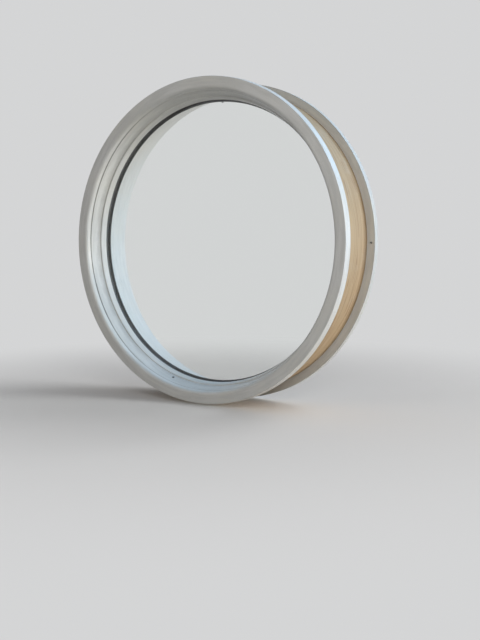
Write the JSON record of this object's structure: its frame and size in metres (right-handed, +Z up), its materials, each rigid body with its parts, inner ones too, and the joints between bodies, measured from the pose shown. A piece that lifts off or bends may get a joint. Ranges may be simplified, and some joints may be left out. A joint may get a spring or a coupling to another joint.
{
  "type": "round window",
  "caption": "Fixed round window: sealed double glazing in a deep painted wooden ring, with a room-side casing, a splayed outdoor reveal and a screwed outdoor trim.",
  "frame": {"origin": "on the window's axis, in the plane where the outdoor trim bears on the wall", "axes": "+Y along the axis to the outdoor side, -Y to the room side, +Z up, +X to the right as seen from the room"},
  "size_m": [0.7459, 0.154, 0.746],
  "materials": {
    "painted_wood": "gloss white paint over wood",
    "nail_steel": "coated steel wire",
    "clear_glass": "polished clear float glass",
    "spacer_foam": "matte black spacer strip",
    "glazing_tape": "matte black foam tape",
    "block_rubber": "matte black rubber"
  },
  "bodies": {
    "root": {"interior_casing": "painted_wood", "casing_nails": "nail_steel", "frame_ring": "painted_wood", "liner_ring": "painted_wood", "liner_nails": "nail_steel", "glazing_bead": "painted_wood", "inner_pane": "clear_glass", "outer_pane": "clear_glass", "spacer_strip": "spacer_foam", "glazing_tape": "glazing_tape", "setting_blocks": "block_rubber", "edge_blocks": "block_rubber", "outdoor_trim": "painted_wood", "trim_nails": "nail_steel"}
  },
  "joints": []
}
